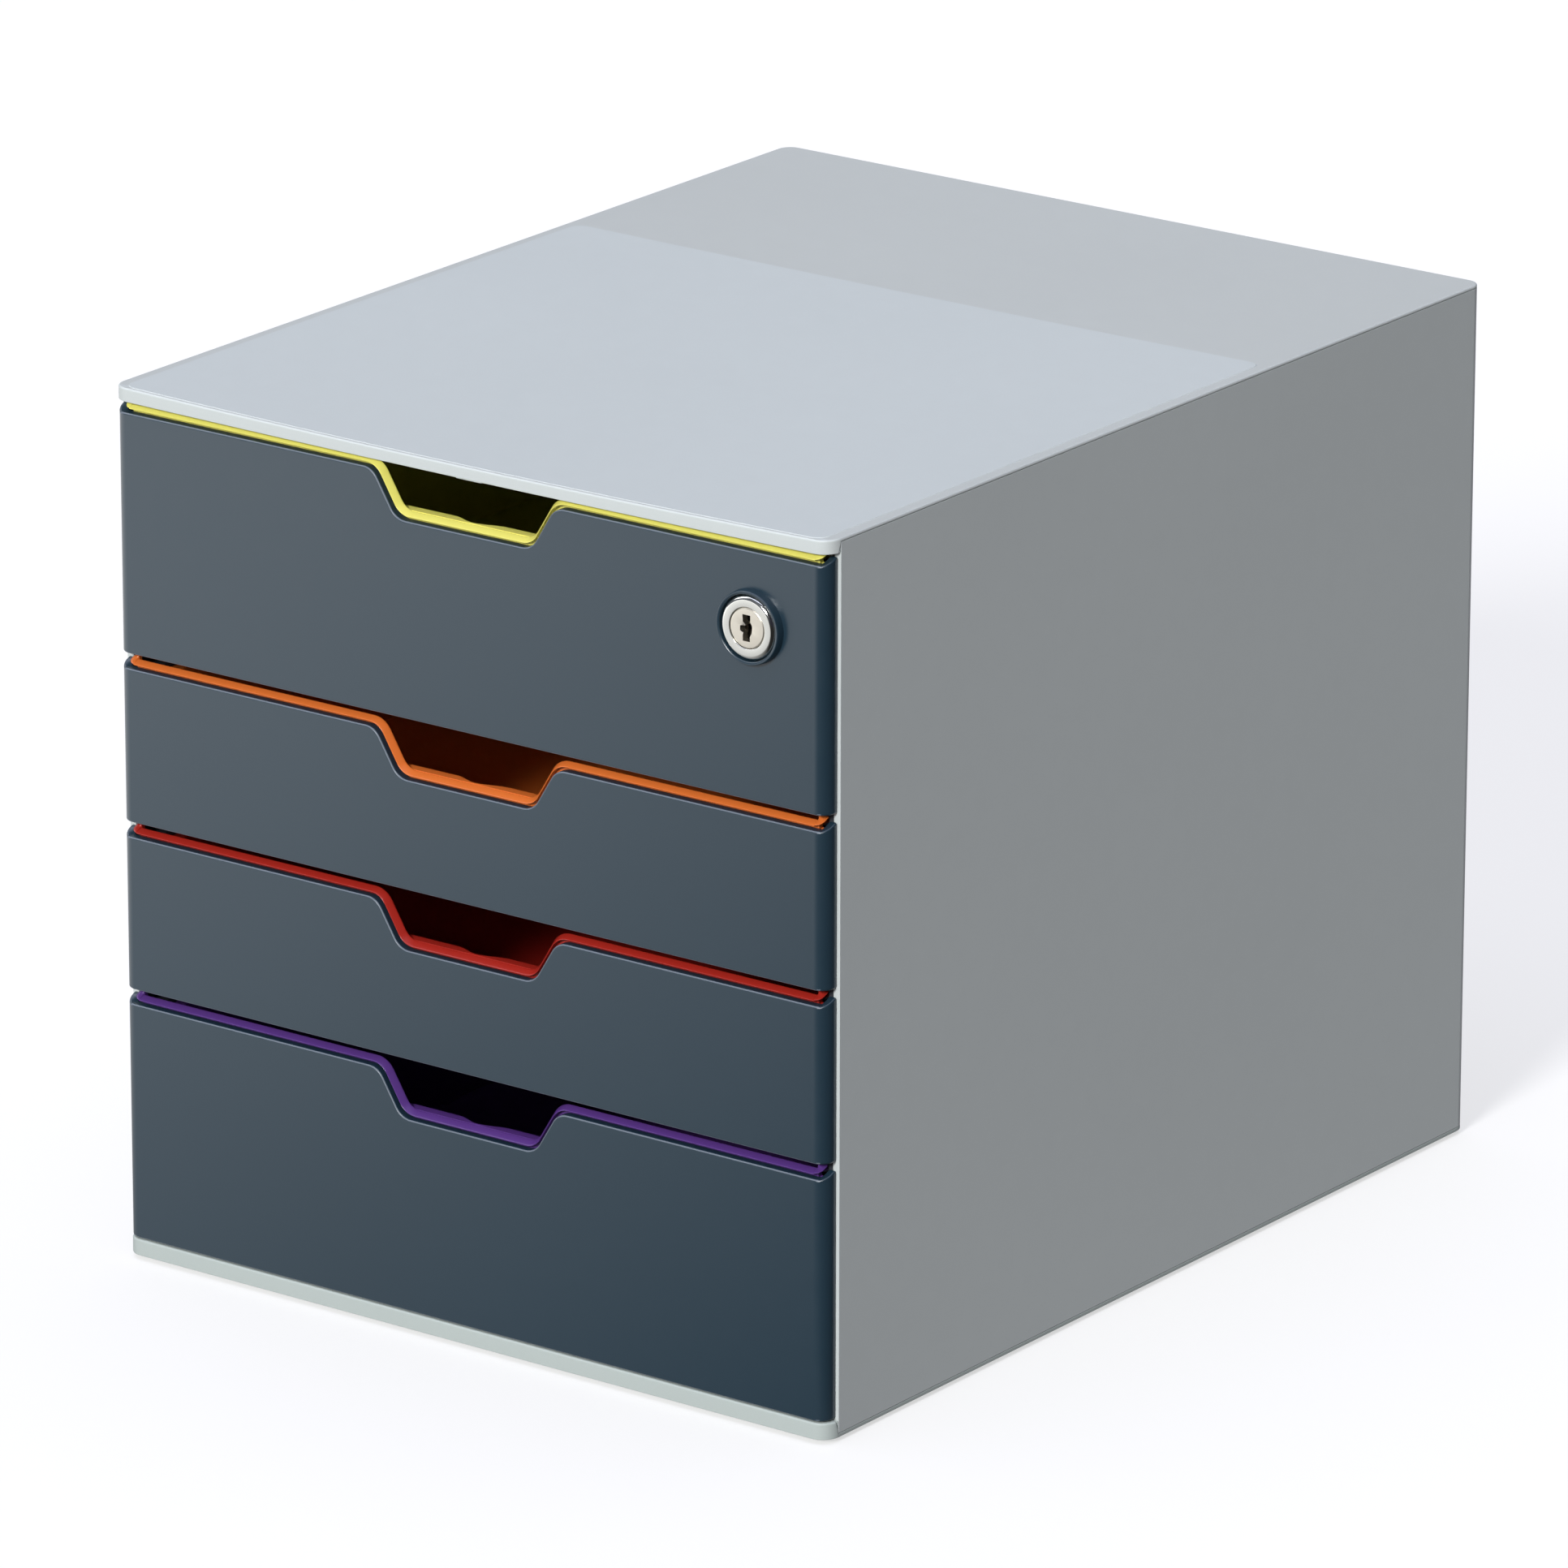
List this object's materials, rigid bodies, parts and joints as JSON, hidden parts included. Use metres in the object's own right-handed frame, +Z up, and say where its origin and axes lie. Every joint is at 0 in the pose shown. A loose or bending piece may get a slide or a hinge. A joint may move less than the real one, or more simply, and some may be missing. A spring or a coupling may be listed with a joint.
{
  "type": "desktop file drawer",
  "caption": "Desktop drawer box with pale casing, stacked dark drawer fronts with finger cut-outs, coloured trays and a cam lock in the top drawer.",
  "frame": {"origin": "on the surface it stands on, under the middle of the whole object", "axes": "+Z up, front faces -Y, X across the width"},
  "size_m": [0.28, 0.3588, 0.292],
  "materials": {
    "pale_plastic": "fine matte moulded texture",
    "runner_plastic": "plain matte moulding",
    "front_plastic": "satin moulding",
    "tray_yellow": "satin moulding",
    "tray_orange": "satin moulding",
    "tray_red": "satin moulding",
    "tray_purple": "satin moulding",
    "lock_chrome": "polished chrome plating",
    "lock_nickel": "satin nickel plating",
    "wafer_brass": "stamped brass",
    "zinc_steel": "zinc plated",
    "foot_rubber": "moulded rubber"
  },
  "bodies": {
    "casing": {"top_cover": "pale_plastic", "base_plate": "pale_plastic", "side_panel_left": "pale_plastic", "side_panel_right": "pale_plastic", "rear_panel": "pale_plastic", "runner_frame_left": "runner_plastic", "runner_frame_right": "runner_plastic", "casing_screws": "zinc_steel", "lock_strike": "zinc_steel", "foot_front_left": "foot_rubber", "foot_front_right": "foot_rubber", "foot_rear_left": "foot_rubber", "foot_rear_right": "foot_rubber"},
    "drawer_1": {"drawer_front_1": "front_plastic", "drawer_tray_1": "tray_yellow", "lock_housing": "lock_chrome", "lock_nut": "zinc_steel"},
    "lock_core": {"lock_plug": "lock_nickel", "lock_wafers": "wafer_brass", "lock_cam": "zinc_steel", "cam_screw": "zinc_steel"},
    "drawer_2": {"drawer_front_2": "front_plastic", "drawer_tray_2": "tray_orange"},
    "drawer_3": {"drawer_front_3": "front_plastic", "drawer_tray_3": "tray_red"},
    "drawer_4": {"drawer_front_4": "front_plastic", "drawer_tray_4": "tray_purple"}
  },
  "joints": [
    {"name": "drawer_1_slide", "type": "slide", "parent": "casing", "child": "drawer_1", "axis": [0, -1, 0], "range_m": [0, 0.27]},
    {"name": "drawer_2_slide", "type": "slide", "parent": "casing", "child": "drawer_2", "axis": [0, -1, 0], "range_m": [0, 0.27]},
    {"name": "drawer_3_slide", "type": "slide", "parent": "casing", "child": "drawer_3", "axis": [0, -1, 0], "range_m": [0, 0.27]},
    {"name": "drawer_4_slide", "type": "slide", "parent": "casing", "child": "drawer_4", "axis": [0, -1, 0], "range_m": [0, 0.27]},
    {"name": "lock_turn", "type": "hinge", "parent": "drawer_1", "child": "lock_core", "pos_m": [0.111, -0.17663, 0.26], "axis": [0, 1, 0], "range_deg": [0, 90]}
  ]
}
